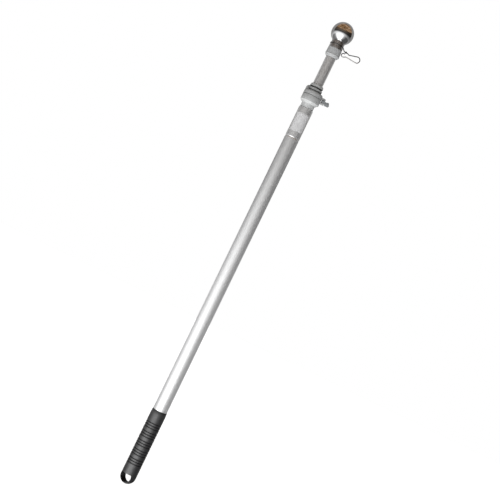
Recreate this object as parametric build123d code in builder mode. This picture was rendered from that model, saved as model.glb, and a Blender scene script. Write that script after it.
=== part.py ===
from build123d import *
import math
import os

os.makedirs("parts", exist_ok=True)

# A hand-held telescopic flagpole, pushed together. Sizes are in millimetres.
# +Z runs up the pole, +X is the side of the wire clip, -Y faces the viewer.
# The origin is on the pole's axis in the grip, where the pole is held.

# tubes, from the innermost out
wall = 1.0
tube_play = 1.0                    # free radius between one tube and the next
slide_gap = 0.1                    # running gap of a tube in its bush
top_r = 9.0
top_bore_r = top_r - wall
middle_bore_r = top_r + tube_play
middle_r = middle_bore_r + wall
outer_bore_r = middle_r + tube_play
outer_r = outer_bore_r + wall
outer_length = 700.9
edge = 0.3                         # small chamfer on the free rims

# the outer tube is drawn in a little where the grip covers it
swage_draw = 0.8
swage_run = 6.0
swage_r = outer_r - swage_draw
swage_bore_r = swage_r - wall

# grip
grip_length = 140.3
hold_height = 24.0                 # from the grip's end up to the origin
rubber = 1.8
lip = 0.4
lip_run = 6.3
swage_cover = 2.3
grip_r = swage_r + rubber
grip_lip_r = outer_r + lip
groove_depth = 0.85
groove_half_top = 1.0
groove_half_root = 0.5
groove_start = 20.1
groove_pitch = 4.55
group_pitch = 17.2
groove_groups = 5
grooves_in_group = 3
strap = 3.0                        # rubber left round the hang hole
hang_rise = 5.0                    # the hole's flat top above the round end's centre
hang_turn = 28.0                   # the hole's near mouth is turned to -X by this
hang_r = grip_r - strap
grip_floor = 3.0

# rolled ring and label on the outer tube
bead_drop = 55.9
bead_depth = 0.45
bead_half_root = 0.4
bead_half_top = 1.3
label_drop = 10.9
label_height = 33.3
label_t = 0.12
label_half_angle = 55.0

# clamp collar at the top of the outer tube
bush_depth = 26.0
neck_height = 8.7
flare_height = 4.1
flare_edge = 0.5
lower_tier = 10.9
upper_tier = 9.0
seam = 0.5
collar_wall = 4.2
collar_round = 3.5
collar_bore_r = middle_r + slide_gap
collar_r = outer_r + collar_wall

# raised ear at the collar's -X side
ear_t = 3.8
ear_height = 6.8
ear_half_angle = 34.0

# clamp lever on an upright pin between two lugs, at the collar's +X side
pin_r = 1.2
pin_head_r = 2.0
pin_head = 0.5
pin_play = 0.05
knuckle_r = 3.2
knuckle_gap = 0.5
lever_gap = 0.3
lug_drop = 5.5                     # underside of the lower lug below the seam
lug_t = 2.6
lug_space = 5.9
lever_reach = 12.9
lever_t = 4.6
lever_foot = 0.5
lever_waist = 6.8
lever_height = 7.7
lever_tip_rise = 3.0
lever_tip_run = 1.6
lever_nose = 2.4
lever_crest = 2.0
lever_notch = 1.0
pin_x = collar_r + knuckle_gap + knuckle_r

# cap of the middle tube, and the washer it comes down on
washer_t = 1.5
washer_inset = 0.7
rest_gap = 0.4
cap_wall = 2.4
cap_waist_depth = 1.5
band_low = 3.5
band_waist = 2.9
band_high = 4.7
cap_taper = 1.2                    # the upper band is this much narrower at its top
cap_spigot = 22.0
cap_r = middle_bore_r + cap_wall
cap_bore_r = top_r + slide_gap

# plugs at the lower ends of the sliding tubes
park_gap = 15.0
plug_height = 14.0
spigot = 15.0
plug_r = outer_bore_r - slide_gap
small_plug_r = middle_bore_r - slide_gap

# head of the pole
shown_tube = 53.9
flange_height = 4.3
flange_edge = 0.6
collar_sleeve = 12.4
upper_collar_wall = 3.9
flange_wall = 4.2
upper_collar_r = top_r + upper_collar_wall
collar_draft = 0.5                 # the sleeve is this much narrower at its top
flange_foot_wall = 1.2
flange_r = top_r + flange_wall
flange_foot_r = top_r + flange_foot_wall
neck_length = 13.1
neck_foot_r = 12.2
neck_head_r = 11.8
neck_bore_r = 5.0
neck_plug = 14.0
stem_rise = 5.2
ball_r = 20.0
ball_wall = 1.2
stem_r = top_bore_r

# wire clip: one wire that leaves a ring round the neck, is bound by a short coil,
# runs out to a round end, comes back and ends in an eye under the coil
wire_r = 0.8
ring_rise = 6.8
ring_seat_r = 11.3
ring_side_gap = 0.2
ring_r = ring_seat_r + slide_gap + wire_r
clip_drop = 8.0                    # the clip's round end lies this far below the ring
eye_gap = 0.4
eye_r = 3.2
eye_drop = 2.7
eye_end_angle = 55.0
coil_rise = 3.4
coil_set_back = 0.6
coil_run = 6.0                     # straight part of the wire under the coil
coil_wire_r = 0.55
coil_play = 0.02
coil_turns = 3
dip_reach = 8.7
dip_rise = 1.6
end_reach = 24.85
end_r = 5.45
return_reach = 5.7
return_drop = 3.6
wire_bend = 2.2

# heights up the pole that follow from the sizes above
butt_z = -hold_height
dome_z = butt_z + grip_r
hang_top_z = dome_z + hang_rise
grip_floor_z = hang_top_z + grip_floor
groove_first_z = hang_top_z + groove_start
grip_top_z = butt_z + grip_length
lip_z = grip_top_z - lip_run
swage_high_z = grip_top_z - swage_cover
swage_low_z = swage_high_z - swage_run
rim_z = grip_floor_z + outer_length
bead_z = rim_z - bead_drop
label_high_z = rim_z - label_drop
label_low_z = label_high_z - label_height
neck_z = rim_z + neck_height
flare_z = neck_z + flare_height
tier_z = flare_z + lower_tier
collar_top_z = tier_z + upper_tier
lug_z = tier_z - lug_drop
lever_z = lug_z + lug_t + lever_gap
upper_lug_z = lug_z + lug_t + lug_space
lug_top_z = upper_lug_z + lug_t
washer_z = collar_top_z + washer_t
cap_z = washer_z + rest_gap
cap_waist_z = cap_z + band_low
cap_band_z = cap_waist_z + band_waist
cap_top_z = cap_band_z + band_high
middle_plug_z = swage_high_z + park_gap
middle_z = middle_plug_z + plug_height
top_plug_z = middle_z + spigot + park_gap
top_z = top_plug_z + plug_height
flange_z = cap_top_z + shown_tube
flange_top_z = flange_z + flange_height
upper_collar_z = flange_top_z + collar_sleeve
ring_z = upper_collar_z + ring_rise
neck_top_z = upper_collar_z + neck_length
ball_z = neck_top_z + math.sqrt(ball_r**2 - neck_head_r**2)
clip_z = ring_z - clip_drop
eye_x = upper_collar_r + eye_gap + wire_r + eye_r

# rubber grip: sleeve over the tube with a round closed end
with BuildPart() as grip:
    with BuildSketch(Plane.XZ):
        with BuildLine():
            RadiusArc((0, butt_z), (grip_r, dome_z), -grip_r)
            Polyline(
                (grip_r, dome_z),
                (grip_r, lip_z),
                (grip_lip_r, grip_top_z),
                (outer_r, grip_top_z),
                (outer_r, swage_high_z),
                (swage_r, swage_low_z),
                (swage_r, grip_floor_z),
                (0, grip_floor_z),
                (0, butt_z),
            )
        make_face()
    revolve(axis=Axis.Z)
    # groups of grooves with narrow ribs between them
    with BuildSketch(Plane.XZ):
        for group in range(groove_groups):
            for groove in range(grooves_in_group):
                groove_z = groove_first_z + group * group_pitch + groove * groove_pitch
                with BuildLine():
                    Polyline(
                        (grip_r + groove_depth, groove_z - 2 * groove_half_top + groove_half_root),
                        (grip_r + groove_depth, groove_z + 2 * groove_half_top - groove_half_root),
                        (grip_r - groove_depth, groove_z + groove_half_root),
                        (grip_r - groove_depth, groove_z - groove_half_root),
                        close=True,
                    )
                make_face()
    revolve(axis=Axis.Z, mode=Mode.SUBTRACT)
    # hang hole: an arc that follows the round end, with a flat top
    turn = math.radians(hang_turn)
    hang_plane = Plane(
        origin=(0, 0, dome_z),
        x_dir=(math.cos(turn), -math.sin(turn), 0),
        z_dir=(-math.sin(turn), -math.cos(turn), 0),
    )
    with BuildSketch(hang_plane):
        Circle(hang_r)
        with Locations((0, hang_rise)):
            Rectangle(3 * hang_r, 2 * hang_r, align=(Align.CENTER, Align.MIN), mode=Mode.SUBTRACT)
    extrude(amount=2 * grip_r, both=True, mode=Mode.SUBTRACT)
grip.part.label = "grip"
export_step(grip.part, "parts/grip.step")

# outer tube: drawn in under the grip, with a rolled ring near its top
with BuildPart() as outer_tube:
    with BuildSketch(Plane.XZ):
        with BuildLine():
            Polyline(
                (swage_bore_r, grip_floor_z),
                (swage_r, grip_floor_z),
                (swage_r, swage_low_z),
                (outer_r, swage_high_z),
                (outer_r, bead_z - bead_half_top),
                (outer_r - bead_depth, bead_z - bead_half_root),
                (outer_r - bead_depth, bead_z + bead_half_root),
                (outer_r, bead_z + bead_half_top),
                (outer_r, rim_z - edge),
                (outer_r - edge, rim_z),
                (outer_bore_r, rim_z),
                (outer_bore_r, swage_high_z),
                (swage_bore_r, swage_low_z),
                close=True,
            )
        make_face()
    revolve(axis=Axis.Z)
outer_tube.part.label = "outer_tube"
export_step(outer_tube.part, "parts/outer_tube.step")

# blank label wrapped round the front of the tube
with BuildPart() as label:
    with BuildSketch(Plane.XY.offset(label_low_z)):
        Circle(outer_r + label_t)
        Circle(outer_r, mode=Mode.SUBTRACT)
        with BuildLine():
            label_side = 2 * outer_r * math.sin(math.radians(label_half_angle))
            label_depth = 2 * outer_r * math.cos(math.radians(label_half_angle))
            Polyline(
                (0, 0),
                (label_side, -label_depth),
                (label_side, -2 * outer_r),
                (-label_side, -2 * outer_r),
                (-label_side, -label_depth),
                close=True,
            )
        make_face(mode=Mode.INTERSECT)
    extrude(amount=label_height)
label.part.label = "label"
export_step(label.part, "parts/label.step")

# moulded collar: bush in the tube, neck, flare, two tiers, ear and lever lugs
with BuildPart() as clamp_collar:
    with BuildSketch(Plane.XZ):
        with BuildLine():
            Polyline(
                (collar_bore_r, rim_z - bush_depth),
                (outer_bore_r, rim_z - bush_depth),
                (outer_bore_r, neck_z),
                (collar_r - flare_edge, flare_z - flare_edge),
                (collar_r, flare_z + flare_edge),
                (collar_r, tier_z - seam / 2),
                (collar_r - seam, tier_z - seam / 2),
                (collar_r - seam, tier_z + seam / 2),
                (collar_r, tier_z + seam / 2),
                (collar_r, collar_top_z),
                (collar_bore_r, collar_top_z),
                close=True,
            )
        make_face()
    revolve(axis=Axis.Z)
    top_edges = clamp_collar.edges().group_by(Axis.Z)[-1]
    fillet(top_edges.sort_by(SortBy.RADIUS)[-1], radius=collar_round)
    # raised ear, rounded on top, that stands beside the cap
    ear_in_r = cap_r + slide_gap + rest_gap
    with BuildSketch(Plane.XZ.rotated((0, 0, 180 - ear_half_angle))):
        with BuildLine():
            Polyline(
                (ear_in_r, collar_top_z + ear_height),
                (ear_in_r, tier_z + seam),
                (ear_in_r + ear_t, tier_z + seam),
                (ear_in_r + ear_t, collar_top_z + ear_height - ear_t),
            )
            RadiusArc(
                (ear_in_r + ear_t, collar_top_z + ear_height - ear_t),
                (ear_in_r, collar_top_z + ear_height),
                -ear_t,
            )
        make_face()
    revolve(axis=Axis.Z, revolution_arc=2 * ear_half_angle)
    # two lugs that hold the lever's pin
    with BuildSketch(Plane.XY.offset(lug_z), Plane.XY.offset(upper_lug_z)):
        with Locations((pin_x, 0)):
            Circle(knuckle_r)
        with Locations((collar_r - collar_wall / 2, 0)):
            Rectangle(
                pin_x - collar_r + collar_wall / 2,
                2 * knuckle_r,
                align=(Align.MIN, Align.CENTER),
            )
    extrude(amount=lug_t)
    with Locations((pin_x, 0, lug_z)):
        Cylinder(
            pin_r,
            lug_top_z - lug_z,
            align=(Align.CENTER, Align.CENTER, Align.MIN),
            mode=Mode.SUBTRACT,
        )
clamp_collar.part.label = "clamp_collar"
export_step(clamp_collar.part, "parts/clamp_collar.step")

# pin of the clamp lever, pressed into both lugs
with BuildPart() as lever_pin:
    with Locations((pin_x, 0, lug_z)):
        Cylinder(pin_r, lug_top_z - lug_z, align=(Align.CENTER, Align.CENTER, Align.MIN))
    with Locations((pin_x, 0, lug_top_z)):
        Cylinder(pin_head_r, pin_head, align=(Align.CENTER, Align.CENTER, Align.MIN))
    chamfer(lever_pin.faces().sort_by(Axis.Z)[-1].edges(), length=pin_head / 2)
lever_pin.part.label = "lever_pin"
export_step(lever_pin.part, "parts/lever_pin.step")

# clamp lever: knuckle on the pin, waist, raised sloping end
lever_x = pin_x + knuckle_r + lever_notch
lever_end_x = pin_x + lever_reach
with BuildPart() as clamp_lever:
    with Locations((pin_x, 0, lever_z)):
        Cylinder(
            knuckle_r,
            lug_space - 2 * lever_gap,
            align=(Align.CENTER, Align.CENTER, Align.MIN),
        )
    with BuildSketch(Plane.XZ):
        with BuildLine():
            Polyline(
                (pin_x, lever_z),
                (lever_x, lever_z),
                (lever_x, lug_z + lever_foot),
                (lever_end_x - lever_tip_run, lug_z + lever_foot),
                (lever_end_x, lug_z + lever_tip_rise),
                (lever_end_x - lever_nose, lug_z + lever_height),
                (lever_end_x - lever_nose - lever_crest, lug_z + lever_height),
                (lever_x + lever_notch, lug_z + lever_waist),
                (pin_x, upper_lug_z - lever_gap),
                close=True,
            )
        make_face()
    extrude(amount=lever_t / 2, both=True)
    with Locations((pin_x, 0, lug_z)):
        Cylinder(
            pin_r + pin_play,
            lug_top_z - lug_z,
            align=(Align.CENTER, Align.CENTER, Align.MIN),
            mode=Mode.SUBTRACT,
        )
clamp_lever.part.label = "clamp_lever"
export_step(clamp_lever.part, "parts/clamp_lever.step")

# black washer between the collar and the middle section's cap
with BuildPart() as collar_washer:
    with BuildSketch(Plane.XY.offset(collar_top_z)):
        Circle(cap_r - washer_inset)
        Circle(collar_bore_r + slide_gap, mode=Mode.SUBTRACT)
    extrude(amount=washer_t)
collar_washer.part.label = "collar_washer"
export_step(collar_washer.part, "parts/collar_washer.step")

# middle tube, with a sliding plug below and a ribbed cap on top
with BuildPart() as middle_tube:
    with BuildSketch(Plane.XY.offset(middle_z)):
        Circle(middle_r)
        Circle(middle_bore_r, mode=Mode.SUBTRACT)
    extrude(amount=cap_z - middle_z)
middle_tube.part.label = "middle_tube"
export_step(middle_tube.part, "parts/middle_tube.step")

with BuildPart() as middle_plug:
    with Locations((0, 0, middle_plug_z)):
        Cylinder(plug_r, plug_height, align=(Align.CENTER, Align.CENTER, Align.MIN))
    with Locations((0, 0, middle_z)):
        Cylinder(middle_bore_r, spigot, align=(Align.CENTER, Align.CENTER, Align.MIN))
middle_plug.part.label = "middle_plug"
export_step(middle_plug.part, "parts/middle_plug.step")

with BuildPart() as middle_cap:
    with BuildSketch(Plane.XZ):
        with BuildLine():
            Polyline(
                (cap_bore_r, cap_z - cap_spigot),
                (middle_bore_r, cap_z - cap_spigot),
                (middle_bore_r, cap_z),
                (cap_r, cap_z),
                (cap_r, cap_waist_z),
                (cap_r - cap_waist_depth, cap_waist_z),
                (cap_r - cap_waist_depth, cap_band_z),
                (cap_r, cap_band_z),
                (cap_r - cap_taper, cap_top_z - edge),
                (cap_r - cap_taper - edge, cap_top_z),
                (cap_bore_r, cap_top_z),
                close=True,
            )
        make_face()
    revolve(axis=Axis.Z)
middle_cap.part.label = "middle_cap"
export_step(middle_cap.part, "parts/middle_cap.step")

# top tube with its plug
with BuildPart() as top_tube:
    with BuildSketch(Plane.XY.offset(top_z)):
        Circle(top_r)
        Circle(top_bore_r, mode=Mode.SUBTRACT)
    extrude(amount=upper_collar_z - top_z)
top_tube.part.label = "top_tube"
export_step(top_tube.part, "parts/top_tube.step")

with BuildPart() as top_plug:
    with Locations((0, 0, top_plug_z)):
        Cylinder(small_plug_r, plug_height, align=(Align.CENTER, Align.CENTER, Align.MIN))
    with Locations((0, 0, top_z)):
        Cylinder(top_bore_r, spigot, align=(Align.CENTER, Align.CENTER, Align.MIN))
top_plug.part.label = "top_plug"
export_step(top_plug.part, "parts/top_plug.step")

# upper collar: a sleeve on the top tube with a flared foot
with BuildPart() as upper_collar:
    with BuildSketch(Plane.XZ):
        with BuildLine():
            Polyline(
                (top_r, flange_z),
                (flange_foot_r, flange_z),
                (flange_r, flange_top_z - flange_edge),
                (flange_r, flange_top_z),
                (upper_collar_r, flange_top_z + flange_edge),
                (upper_collar_r - collar_draft, upper_collar_z - edge),
                (upper_collar_r - collar_draft - edge, upper_collar_z),
                (top_r, upper_collar_z),
                close=True,
            )
        make_face()
    revolve(axis=Axis.Z)
upper_collar.part.label = "upper_collar"
export_step(upper_collar.part, "parts/upper_collar.step")

# chrome neck under the ball, with a groove for the clip's ring
ring_half = wire_r + ring_side_gap
with BuildPart() as finial_neck:
    with BuildSketch(Plane.XZ):
        with BuildLine():
            Polyline(
                (neck_bore_r, upper_collar_z - neck_plug),
                (top_bore_r, upper_collar_z - neck_plug),
                (top_bore_r, upper_collar_z),
                (neck_foot_r, upper_collar_z),
                (neck_foot_r, ring_z - ring_half),
                (ring_seat_r, ring_z - ring_half),
                (ring_seat_r, ring_z + ring_half),
                (neck_head_r, ring_z + ring_half),
                (neck_head_r, neck_top_z),
                (neck_bore_r, neck_top_z),
                close=True,
            )
        make_face()
    revolve(axis=Axis.Z)
    # round seat for the ball, and the stem that goes into it
    with Locations((0, 0, ball_z)):
        Sphere(ball_r, mode=Mode.SUBTRACT)
    with BuildSketch(Plane.XY.offset(upper_collar_z)):
        Circle(stem_r)
        Circle(neck_bore_r, mode=Mode.SUBTRACT)
    extrude(amount=neck_length + stem_rise)
finial_neck.part.label = "finial_neck"
export_step(finial_neck.part, "parts/finial_neck.step")

# hollow chrome ball, open where the neck's stem goes in
with BuildPart() as ball_finial:
    with Locations((0, 0, ball_z)):
        Sphere(ball_r)
        Sphere(ball_r - ball_wall, mode=Mode.SUBTRACT)
    with Locations((0, 0, upper_collar_z)):
        Cylinder(
            stem_r,
            neck_length + stem_rise,
            align=(Align.CENTER, Align.CENTER, Align.MIN),
            mode=Mode.SUBTRACT,
        )
ball_finial.part.label = "ball_finial"
export_step(ball_finial.part, "parts/ball_finial.step")

# ring of the clip, loose in the neck's groove
with BuildPart() as clip_ring:
    with Locations((0, 0, ring_z)):
        Torus(ring_r, wire_r)
clip_ring.part.label = "clip_ring"
export_step(clip_ring.part, "parts/clip_ring.step")


def tangent_point(corner, centre, radius, side):
    """Where a line from the corner touches the circle, on the side asked for."""
    away_x = centre[0] - corner[0]
    away_y = centre[1] - corner[1]
    distance = math.hypot(away_x, away_y)
    heading = math.atan2(away_y, away_x) + side * math.asin(radius / distance)
    run = math.sqrt(distance**2 - radius**2)
    return (corner[0] + run * math.cos(heading), corner[1] + run * math.sin(heading))


# the clip's own wire, drawn from the ring through the coil round to the eye under it;
# sideways distances are from the eye's centre and heights from the round end's centre
clip_plane = Plane(origin=(eye_x, 0, clip_z), x_dir=(1, 0, 0), z_dir=(0, -1, 0))
ring_point = (ring_r - eye_x, clip_drop)
coil_start = (-coil_set_back, coil_rise)
coil_end = (coil_run - coil_set_back, coil_rise)
dip = (dip_reach, dip_rise)
return_point = (return_reach, -return_drop)
end_centre = (end_reach, 0)
eye_centre = (0, -eye_drop)
upper_end = tangent_point(dip, end_centre, end_r, 1)
lower_end = tangent_point(return_point, end_centre, end_r, -1)
eye_low = tangent_point(return_point, eye_centre, eye_r, 1)
eye_turn = math.radians(eye_end_angle)
eye_end = (eye_r * math.cos(eye_turn), eye_r * math.sin(eye_turn) - eye_drop)
with BuildPart() as flag_clip:
    with BuildLine(clip_plane) as clip_path:
        FilletPolyline(ring_point, coil_start, coil_end, dip, upper_end, radius=wire_bend)
        ThreePointArc(upper_end, (end_reach + end_r, 0), lower_end)
        FilletPolyline(lower_end, return_point, eye_low, radius=wire_bend)
        ThreePointArc(eye_low, (-eye_r, -eye_drop), eye_end)
    clip_wire = clip_path.wire()
    with BuildSketch(Plane(origin=clip_wire @ 0, z_dir=clip_wire % 0)):
        Circle(wire_r)
    sweep(path=clip_wire)
    # the wire's end is cut to sit on the ring
    with Locations((0, 0, ring_z)):
        Torus(ring_r, wire_r, mode=Mode.SUBTRACT)
flag_clip.part.label = "flag_clip"
export_step(flag_clip.part, "parts/flag_clip.step")

# the coil that binds the wire beside the ring: a sleeve with one round rib for each turn
coil_length = coil_turns * 2 * coil_wire_r
coil_from = coil_set_back - (coil_run - coil_length) / 2
with BuildPart() as clip_coil:
    with BuildSketch(clip_plane):
        with Locations((-coil_from, coil_rise)):
            Rectangle(coil_length, wire_r + coil_wire_r, align=(Align.MIN, Align.MIN))
        for turn_number in range(coil_turns):
            with Locations(
                (coil_wire_r * (2 * turn_number + 1) - coil_from, coil_rise + wire_r + coil_wire_r)
            ):
                Circle(coil_wire_r)
        with Locations((-coil_from, coil_rise)):
            Rectangle(
                coil_length,
                wire_r + coil_play,
                align=(Align.MIN, Align.MIN),
                mode=Mode.SUBTRACT,
            )
    revolve(axis=Axis(clip_plane.from_local_coords((0, coil_rise, 0)), (1, 0, 0)))
clip_coil.part.label = "clip_coil"
export_step(clip_coil.part, "parts/clip_coil.step")
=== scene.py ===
import math

import bmesh
import bpy
from mathutils import Matrix, Vector


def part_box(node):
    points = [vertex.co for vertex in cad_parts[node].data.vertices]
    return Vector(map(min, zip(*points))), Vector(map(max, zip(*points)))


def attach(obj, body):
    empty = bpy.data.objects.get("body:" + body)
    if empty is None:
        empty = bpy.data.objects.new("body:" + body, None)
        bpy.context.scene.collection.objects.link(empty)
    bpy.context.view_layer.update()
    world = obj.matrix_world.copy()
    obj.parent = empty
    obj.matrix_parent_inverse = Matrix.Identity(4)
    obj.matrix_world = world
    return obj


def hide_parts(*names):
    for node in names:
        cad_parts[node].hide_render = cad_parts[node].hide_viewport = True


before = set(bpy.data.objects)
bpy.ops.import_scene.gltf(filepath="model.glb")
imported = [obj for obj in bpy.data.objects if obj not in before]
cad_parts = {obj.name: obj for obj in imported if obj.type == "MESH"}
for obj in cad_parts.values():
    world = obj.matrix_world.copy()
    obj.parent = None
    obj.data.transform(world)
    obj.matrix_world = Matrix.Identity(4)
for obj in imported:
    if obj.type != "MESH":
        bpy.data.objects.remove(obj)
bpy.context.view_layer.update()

# Lengths are in metres, and heights count from the frame's origin in the grip's plain band.
BUTT = -0.024
GRIP_R = 0.014                   # the grip over its ribs

# Camera, at the photograph's own angle: level, with the pole leaning across the picture
SIGHT_HEIGHT = BUTT + 0.4597     # height on the pole of the picture's middle
SIGHT_SIDE = 0.01915             # the picture's middle lies this far to the clip's side
SENSOR = 36.0                    # in millimetres, as the lens is
LENS = 72.43
DISTANCE = 1.75
LEAN = math.radians(25.856)


def add_camera():
    """Places the camera for a 500 x 500 picture."""
    forward = Vector((0, 1, 0))
    right = Vector((math.cos(LEAN), 0, math.sin(LEAN)))
    up = Vector((-math.sin(LEAN), 0, math.cos(LEAN)))
    camera = bpy.data.cameras.new("camera")
    camera.lens = LENS
    camera.sensor_width = SENSOR
    holder = bpy.data.objects.new("camera", camera)
    turned = Matrix((right, up, -forward)).transposed().to_4x4()
    target = Vector((SIGHT_SIDE, 0, SIGHT_HEIGHT))
    holder.matrix_world = Matrix.Translation(target - forward * DISTANCE) @ turned
    bpy.context.scene.collection.objects.link(holder)
    bpy.context.scene.camera = holder


class Nodes:
    """A node tree with short calls for adding and linking its nodes."""

    def __init__(self, tree):
        self.tree = tree

    def feed(self, socket, value):
        """Links another node's output to a socket, or else sets a constant on it."""
        if isinstance(value, bpy.types.NodeSocket):
            self.tree.links.new(value, socket)
        else:
            socket.default_value = value

    def node(self, kind, **values):
        """Adds a node. A value goes to the input of its name, or else to a setting."""
        made = self.tree.nodes.new(kind)
        for key, value in values.items():
            if key in made.inputs:
                self.feed(made.inputs[key], value)
            else:
                setattr(made, key, value)
        return made

    def calculate(self, operation, first, second):
        """The result of a math operation on two values."""
        made = self.node("ShaderNodeMath", operation=operation)
        self.feed(made.inputs[0], first)
        self.feed(made.inputs[1], second)
        return made.outputs[0]

    def spread(self, value, low, high, to_low=0.0, to_high=1.0):
        """Maps a value from one range to another, and holds it at the ends."""
        ends = {"From Min": low, "From Max": high, "To Min": to_low, "To Max": to_high}
        return self.node("ShaderNodeMapRange", Value=value, **ends).outputs["Result"]

    def mix(self, blend, share, first, second):
        """Mixes two colours; the Mix node has its colour sockets after those for numbers."""
        made = self.node("ShaderNodeMix", data_type="RGBA", blend_type=blend)
        for place, value in ((0, share), (6, first), (7, second)):
            self.feed(made.inputs[place], value)
        return made.outputs[2]

    def seen_by(self, *rays):
        """One for the kinds of ray that are named, and zero for all others."""
        path = self.node("ShaderNodeLightPath")
        seen = path.outputs[rays[0]]
        for ray in rays[1:]:
            seen = self.calculate("MAXIMUM", seen, path.outputs[ray])
        return seen


class Shader(Nodes):
    """The node tree of a new material, round its Principled BSDF."""

    def __init__(self, name):
        self.material = bpy.data.materials.new(name)
        self.material.use_nodes = True
        super().__init__(self.material.node_tree)
        self.bsdf = self.tree.nodes["Principled BSDF"]

    def set(self, **values):
        """Feeds the BSDF's inputs; an underscore stands for a space in a name."""
        for key, value in values.items():
            self.feed(self.bsdf.inputs[key.replace("_", " ")], value)

    def coords(self, scale=(1, 1, 1)):
        """Object coordinates, scaled along each axis."""
        place = self.node("ShaderNodeTexCoord").outputs["Object"]
        return self.node("ShaderNodeMapping", Vector=place, Scale=scale).outputs["Vector"]

    def parts(self):
        """Object coordinates as separate X, Y and Z."""
        return self.node("ShaderNodeSeparateXYZ", Vector=self.coords()).outputs

    def noise(self, scale, detail, stretch=(1, 1, 1)):
        place = self.coords(stretch)
        made = self.node("ShaderNodeTexNoise", Vector=place, Scale=scale, Detail=detail)
        return made.outputs["Fac"]

    def ramp(self, value, stops):
        """Turns a value into a colour by a list of (place, colour)."""
        made = self.node("ShaderNodeValToRGB", Fac=value)
        while len(made.color_ramp.elements) < len(stops):
            made.color_ramp.elements.new(0.5)
        for element, (place, colour) in zip(made.color_ramp.elements, stops):
            element.position = place
            element.color = (*colour, 1)
        return made.outputs["Color"]

    def by_height(self, table):
        """A tone by the height above the pole's butt in millimetres, from a table."""
        low, high = table[0][0], table[-1][0]
        height = self.spread(self.parts()["Z"], BUTT + low / 1000, BUTT + high / 1000)
        stops = [((place - low) / (high - low), (tone,) * 3) for place, tone in table]
        return self.ramp(height, stops)

    def rough(self, value, low, high):
        self.set(Roughness=self.spread(value, 0, 1, low, high))

    def bump(self, value, depth, strength):
        made = self.node("ShaderNodeBump", Height=value, Distance=depth, Strength=strength)
        self.set(Normal=made.outputs["Normal"])


def satin_metal():
    """Drawn and anodised tube: fine lines along its length."""
    shader = Shader("satin_tube")
    shader.set(Metallic=0.82, Base_Color=(0.86, 0.865, 0.87, 1))
    lines = shader.noise(2600, 4, stretch=(1, 1, 0.004))
    shader.rough(lines, 0.28, 0.33)
    shader.bump(lines, 0.000008, 0.12)
    return shader.material


def rubber(name, colour, rough, refraction):
    shader = Shader(name)
    shader.set(Base_Color=(*colour, 1), IOR=refraction)
    grain = shader.noise(2600, 2)
    shader.rough(grain, rough - 0.06, rough + 0.08)
    shader.bump(grain, 0.00002, 0.35)
    return shader


def grip_rubber():
    """Black rubber that shines on its ribs, with its shine turned down in its grooves as painted
    shade.
    """
    shader = rubber("grip_rubber", (0.010, 0.010, 0.0105), 0.32, 1.85)
    parts = shader.parts()
    across = shader.node("ShaderNodeCombineXYZ", X=parts["X"], Y=parts["Y"])
    radius = shader.node("ShaderNodeVectorMath", operation="LENGTH")
    shader.feed(radius.inputs[0], across.outputs["Vector"])
    groove_r, rib_r = GRIP_R - 0.0007, GRIP_R - 0.0001
    # Painted shade: less reflection down in the grooves, where shade falls, and more on the ribs.
    groove_shaded_shine = shader.spread(radius.outputs["Value"], groove_r, rib_r, 0.08, 0.5)
    shader.set(Specular_IOR_Level=groove_shaded_shine)
    return shader.material


def plastic(name, colour, rough, heights=None):
    """Moulded plastic; the heights table paints light and shade onto it by its height on the pole.
    """
    shader = Shader(name)
    grain = shader.noise(1800, 3)
    cloud = shader.noise(60, 3)
    darker = tuple(c * 0.95 for c in colour)
    lighter = tuple(c * 1.04 for c in colour)
    base = shader.ramp(cloud, [(0.3, darker), (0.7, lighter)])
    if heights:
        base = shader.mix("MULTIPLY", 1, base, shader.by_height(heights))
    shader.set(Base_Color=base)
    shader.rough(grain, rough - 0.05, rough + 0.07)
    shader.bump(grain, 0.00002, 0.25)
    return shader.material


def chrome(name, low, high):
    shader = Shader(name)
    shader.set(Metallic=1.0, Base_Color=(0.82, 0.82, 0.83, 1))
    shader.rough(shader.noise(90, 4), low, high)
    return shader.material


def wire(name, rough, tone=None, heights=None):
    """Drawn wire of one tone, or with painted light and shade by its height on the pole."""
    shader = Shader(name)
    base = shader.by_height(heights) if heights else (tone, tone, tone, 1)
    shader.set(Metallic=1.0, Base_Color=base)
    drawn = shader.noise(1500, 3)
    shader.rough(drawn, rough - 0.05, rough + 0.08)
    shader.bump(drawn, 0.00002, 0.4)
    return shader.material


def foil():
    shader = Shader("blank_label")
    mottle = shader.noise(420, 3)
    stops = [(0.35, (0.39, 0.39, 0.395)), (0.65, (0.50, 0.50, 0.505))]
    shader.set(Base_Color=shader.ramp(mottle, stops))
    shader.rough(mottle, 0.32, 0.46)
    return shader.material


# Painted light and shade as tones by height above the butt in millimetres. The collar gets a painted
# highlight on its flare, painted shade in the seam between its tiers, and painted shade on its upper
# tier, which is darker than the lower.
COLLAR_LIGHT_AND_SHADE = [(690.0, 0.72), (731.0, 0.72), (732.0, 1.0), (735.6, 1.0), (736.4, 0.69),
                (746.0, 0.69), (746.3, 0.2), (746.9, 0.2), (747.2, 0.58), (765.0, 0.58)]
# Painted shade: the recessed waist between the cap's two bands is nearly black. The cap is also
# darker below its lower band.
CAP_WAIST_SHADE_TONES = [(730.0, 0.6), (757.6, 0.6), (758.4, 1.0), (760.9, 1.0), (761.1, 0.1),
             (763.8, 0.1), (764.0, 1.0), (770.0, 1.0)]
# Painted reflection and shade on the clip's wire: dark at its coil and lighter down its loop.
CLIP_PAINTED_REFLECTION = [(830.0, 0.45), (834.0, 0.42), (837.0, 0.10), (839.0, 0.03), (848.0, 0.03)]

tube_metal = satin_metal()
plug_black = plastic("plug_black", (0.03, 0.03, 0.03), 0.5)

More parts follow.
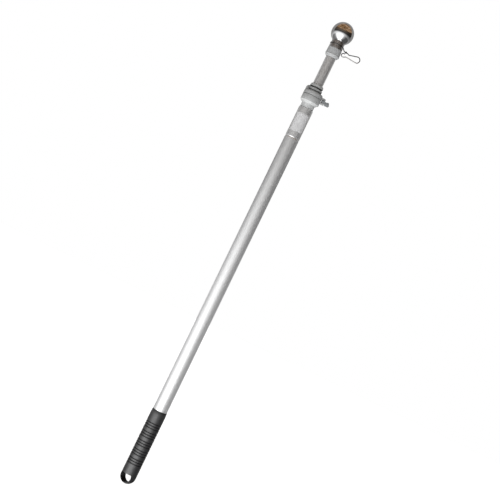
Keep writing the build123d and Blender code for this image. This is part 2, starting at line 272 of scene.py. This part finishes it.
FINISH = {
    "grip": grip_rubber(),
    "outer_tube": tube_metal,
    "label": foil(),
    # The collar's painted light and shade come from its height table.
    "clamp_collar": plastic("collar_grey", (0.425, 0.433, 0.433), 0.45, COLLAR_LIGHT_AND_SHADE),
    "lever_pin": wire("pin_steel", 0.3, tone=0.55),
    "clamp_lever": plastic("lever_grey", (0.16, 0.17, 0.175), 0.45),
    "collar_washer": rubber("washer_rubber", (0.004, 0.004, 0.004), 0.6, 1.35).material,
    "middle_tube": tube_metal,
    "middle_plug": plug_black,
    # The cap's nearly black waist is painted shade, from its height table.
    "middle_cap": plastic("cap_grey", (0.315, 0.322, 0.32), 0.42, CAP_WAIST_SHADE_TONES),
    "top_tube": tube_metal,
    "top_plug": plug_black,
    "upper_collar": plastic("head_grey", (0.31, 0.317, 0.32), 0.42),
    "finial_neck": chrome("neck_chrome", 0.26, 0.36),
    "ball_finial": chrome("ball_chrome", 0.035, 0.11),
    "clip_ring": wire("ring_wire", 0.3, tone=0.12),
    # Painted shade: the coil, wound from the same wire as the clip, is made nearly black.
    "clip_coil": wire("dark_wire", 0.4, tone=0.025),
    # The clip's painted reflection and shade come from its height table.
    "flag_clip": wire("clip_wire", 0.24, heights=CLIP_PAINTED_REFLECTION),
}
for node, material in FINISH.items():
    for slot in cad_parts[node].material_slots:
        slot.material = material


# Pieces that take the place of solids, with finer forms
FLAT_LIMIT = math.radians(0.1)   # faces that differ by less are joined before rounding
ROUND_LIMIT = math.radians(35)   # outer edges sharper than this are rounded
SHADE_LIMIT = math.radians(50)   # edges sharper than this stay crisp in the shading
COIL_WIRE_R = 0.00045
COIL_TURNS = 2.7


def stand_for(node, body, mesh):
    """Puts a mesh in the place of a solid, with its finish, on the same body."""
    for polygon in mesh.polygons:
        polygon.use_smooth = True
    mesh.set_sharp_from_angle(angle=SHADE_LIMIT)
    piece = bpy.data.objects.new(node + "_fine", mesh)
    bpy.context.scene.collection.objects.link(piece)
    mesh.materials.clear()
    mesh.materials.append(FINISH[node])
    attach(piece, body)
    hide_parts(node)


def softened(node, body, width):
    """The solid again with its outer edges rounded, as moulded edges are."""
    shape = bmesh.new()
    shape.from_mesh(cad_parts[node].data)
    bmesh.ops.remove_doubles(shape, verts=shape.verts, dist=1e-6)
    bmesh.ops.dissolve_limit(
        shape, angle_limit=FLAT_LIMIT, verts=shape.verts, edges=shape.edges
    )
    sharp = [
        edge for edge in shape.edges
        if len(edge.link_faces) == 2 and edge.is_convex and edge.calc_face_angle() > ROUND_LIMIT
    ]
    bmesh.ops.bevel(
        shape, geom=sharp, offset=width, segments=2, profile=0.5, affect="EDGES",
        clamp_overlap=True,
    )
    bmesh.ops.triangulate(shape, faces=shape.faces)
    mesh = bpy.data.meshes.new(node + "_fine")
    shape.to_mesh(mesh)
    shape.free()
    stand_for(node, body, mesh)


def wound_coil():
    """The clip's binding as a wound wire, where the solid has a sleeve with ribs."""
    low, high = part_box("clip_coil")
    centre_z = (low[2] + high[2]) / 2
    reach = (high[2] - low[2]) / 2 - COIL_WIRE_R
    length = high[0] - low[0] - 2 * COIL_WIRE_R
    around, sides = 28, 12
    steps = int(COIL_TURNS * around)
    points, faces = [], []
    for step in range(steps + 1):
        turn = 2 * math.pi * step / around
        along = low[0] + COIL_WIRE_R + length * step / steps
        outward = Vector((0, math.cos(turn), math.sin(turn)))
        for side in range(sides):
            angle = 2 * math.pi * side / sides
            offset = outward * (reach + COIL_WIRE_R * math.cos(angle))
            points.append((along + COIL_WIRE_R * math.sin(angle), offset.y, centre_z + offset.z))
    for step in range(steps):
        for side in range(sides):
            here, there = step * sides + side, step * sides + (side + 1) % sides
            faces.append((here, there, there + sides, here + sides))
    faces.append(tuple(range(sides)))
    faces.append(tuple(reversed(range(steps * sides, (steps + 1) * sides))))
    mesh = bpy.data.meshes.new("clip_coil_fine")
    mesh.from_pydata(points, [], faces)
    shape = bmesh.new()
    shape.from_mesh(mesh)
    bmesh.ops.recalc_face_normals(shape, faces=shape.faces)
    shape.to_mesh(mesh)
    shape.free()
    stand_for("clip_coil", "clip", mesh)


softened("clamp_lever", "lever", 0.0004)
softened("clamp_collar", "lower", 0.0004)
softened("middle_cap", "middle", 0.0003)
softened("upper_collar", "top", 0.0003)
wound_coil()


# Floor, cards, lamps and background
FLOOR = BUTT - 0.45
FLOOR_HALF = 9
FLOOR_GLOW = 0.75
RING_R = 3.0
RING_FOOT = FLOOR + 0.02
RING_TOP = 2.6
APRON_R = 0.4                    # the low band starts this far from the pole
WALL_Y = 0.6
WALL_HALF = 2.7
WALL_LOW = 0.74
WALL_HIGH = 2.54
WORLD_LIGHT = 0.55
GRADE = 3.0                      # more than the tables' largest tone, as a ramp ends at one

# Tones of the cards by angle from the front, to the clip's side, and by height
AROUND = [(-180, 0.42), (-140, 0.38), (-108, 0.40), (-85, 0.58), (-48, 0.90), (-15, 0.98),
          (10, 0.82), (31, 0.48), (60, 0.2), (90, 0.15), (140, 0.28), (180, 0.42)]
UPWARD = [(-0.45, 1.25), (0.0, 1.25), (0.2, 1.15), (0.33, 1.0), (0.5, 0.76), (0.64, 0.46),
          (0.83, 0.17), (1.02, 0.07), (1.2, 0.06), (1.6, 0.12), (2.6, 0.16)]
LOW_AROUND = [(-180, 0.2), (-108, 0.2), (-85, 0.3), (-62, 1.2), (-40, 2.8), (-8, 2.8),
              (12, 1.6), (35, 0.4), (60, 0.09), (100, 0.08), (180, 0.2)]
# Colours of the ring from its foot to its top, and of the ceiling's patches
WARMTH = [(0.47, (1, 1, 1)), (0.6, (1.0, 0.86, 0.72)), (0.8, (1.0, 0.70, 0.46))]
PATCHES = [(0.38, (0.06, 0.035, 0.02)), (0.5, (0.27, 0.14, 0.05)), (0.62, (0.5, 0.36, 0.25))]
CEILING_BACK = (0.28, 0.26, 0.25, 1)
WALL_COLOUR = (0.27, 0.265, 0.26, 1)

# Each lamp's name, place, target, size and power in watts
LAMPS = [
    ("key", (-0.9, -2.0, -0.1), (0, 0, 0.5), (1.6, 0.8), 8),
    ("under", (-0.1, -0.5, -0.44), (0, 0, 0.6), (1.2, 0.8), 30),
    ("fill_right", (1.3, -1.1, 0.85), (0, 0, 0.72), (0.9, 0.9), 8),
    ("fill_left", (-1.4, -0.5, 0.85), (0, 0, 0.72), (0.9, 0.9), 6),
]


def stage_mesh(name, points, faces, place=(0, 0, 0)):
    mesh = bpy.data.meshes.new(name)
    mesh.from_pydata(points, [], faces)
    made = bpy.data.objects.new(name, mesh)
    made.location = place
    bpy.context.scene.collection.objects.link(made)
    return made


def band(name, edges):
    """A closed band of faces between two circles, each given as (radius, height)."""
    count = 96
    points, faces = [], []
    for step in range(count + 1):
        turn = 2 * math.pi * step / count
        points += [(r * math.sin(turn), -r * math.cos(turn), z) for r, z in edges]
    for step in range(count):
        faces.append((2 * step, 2 * step + 1, 2 * step + 3, 2 * step + 2))
    return stage_mesh(name, points, faces)


def hide_from_all_but_mirrors(card):
    card.visible_camera = False
    card.visible_diffuse = False
    card.visible_shadow = False


def card_shader(card):
    """A shader for a card that gives off light and mirrors next to none."""
    shader = Shader(card.name)
    shader.set(Base_Color=(0, 0, 0, 1), Roughness=1.0)
    card.data.materials.append(shader.material)
    return shader


def around_tone(shader, parts, table):
    """The tone of a card by its angle round the pole, from a table."""
    front = shader.calculate("MULTIPLY", parts["Y"], -1)
    angle = shader.calculate("ARCTAN2", parts["X"], front)
    stops = [((degrees + 180) / 360, (tone / GRADE,) * 3) for degrees, tone in table]
    return shader.ramp(shader.spread(angle, -math.pi, math.pi), stops)


def white_floor():
    """A pale floor that the camera sees as white, with the object's shadow kept."""
    half = FLOOR_HALF
    corners = [(-half, -half, 0), (half, -half, 0), (half, half, 0), (-half, half, 0)]
    floor = stage_mesh("floor", corners, [(0, 1, 2, 3)], (0, 0, FLOOR))
    shader = Shader("floor")
    shader.set(Base_Color=(0.86, 0.86, 0.86, 1), Roughness=0.9, Emission_Color=(1, 1, 1, 1))
    seen = shader.seen_by("Is Camera Ray", "Is Glossy Ray")
    shader.set(Emission_Strength=shader.spread(seen, 0, 1, 0, FLOOR_GLOW))
    floor.data.materials.append(shader.material)


def studio_ring():
    """Soft cards all round, bright in front to the left and grey to the right."""
    ring = band("studio_ring", [(RING_R, RING_FOOT), (RING_R, RING_TOP)])
    ring.visible_camera = False
    shader = card_shader(ring)
    parts = shader.parts()
    height = shader.spread(parts["Z"], FLOOR, RING_TOP)
    stops = [((z - FLOOR) / (RING_TOP - FLOOR), (tone / GRADE,) * 3) for z, tone in UPWARD]
    rise = shader.ramp(height, stops)
    level = shader.calculate("MULTIPLY", around_tone(shader, parts, AROUND), rise)
    strength = shader.calculate("MULTIPLY", level, GRADE * GRADE)
    shader.set(Emission_Strength=strength, Emission_Color=shader.ramp(height, WARMTH))


def studio_apron():
    """A band low over the floor that only mirroring surfaces see: it shades the grip."""
    apron = band("studio_apron", [(APRON_R, RING_FOOT), (RING_R, RING_FOOT)])
    hide_from_all_but_mirrors(apron)
    shader = card_shader(apron)
    tone = around_tone(shader, shader.parts(), LOW_AROUND)
    shader.set(Emission_Color=tone, Emission_Strength=GRADE)


def back_wall():
    """A grey wall behind the pole that only mirroring surfaces see, at the ball's rim."""
    left, right = -WALL_HALF, WALL_HALF
    corners = [
        (left, 0, WALL_LOW), (right, 0, WALL_LOW), (right, 0, WALL_HIGH), (left, 0, WALL_HIGH)
    ]
    wall = stage_mesh("back_wall", corners, [(0, 1, 2, 3)], (0, WALL_Y, 0))
    hide_from_all_but_mirrors(wall)
    card_shader(wall).set(Emission_Strength=1.0, Emission_Color=WALL_COLOUR)


def ceiling():
    """A warm ceiling that the ball mirrors; the light from above still comes through."""
    count = 48
    turns = [2 * math.pi * step / count for step in range(count)]
    points = [(RING_R * math.sin(turn), -RING_R * math.cos(turn), 0) for turn in turns]
    card = stage_mesh("ceiling", points, [tuple(range(count))], (0, 0, RING_TOP))
    hide_from_all_but_mirrors(card)
    shader = card_shader(card)
    front = shader.ramp(shader.noise(1.5, 4), PATCHES)
    behind = shader.spread(shader.parts()["Y"], 0, 1.6)
    colour = shader.mix("MIX", behind, front, CEILING_BACK)
    shader.set(Emission_Strength=1.0, Emission_Color=colour)


def area_light(name, place, target, size, power):
    lamp = bpy.data.lights.new(name, "AREA")
    lamp.shape = "RECTANGLE"
    lamp.size, lamp.size_y = size
    lamp.energy = power
    made = bpy.data.objects.new(name, lamp)
    aim = Vector(target) - Vector(place)
    made.matrix_world = Matrix.Translation(place) @ aim.to_track_quat("-Z", "Y").to_matrix().to_4x4()
    made.visible_camera = False
    made.visible_glossy = False
    bpy.context.scene.collection.objects.link(made)


def white_world():
    """Soft light from all sides, which the camera, metal and glass see as white."""
    world = bpy.data.worlds.new("studio")
    bpy.context.scene.world = world
    world.use_nodes = True
    nodes = Nodes(world.node_tree)
    shade = nodes.tree.nodes["Background"]
    seen = nodes.seen_by("Is Camera Ray", "Is Glossy Ray", "Is Transmission Ray")
    nodes.feed(shade.inputs["Color"], (1, 1, 1, 1))
    nodes.feed(shade.inputs["Strength"], nodes.spread(seen, 0, 1, WORLD_LIGHT, 1.0))


white_floor()
studio_ring()
studio_apron()
back_wall()
ceiling()
for lamp in LAMPS:
    area_light(*lamp)
white_world()
add_camera()
bpy.context.scene.view_settings.view_transform = "Standard"
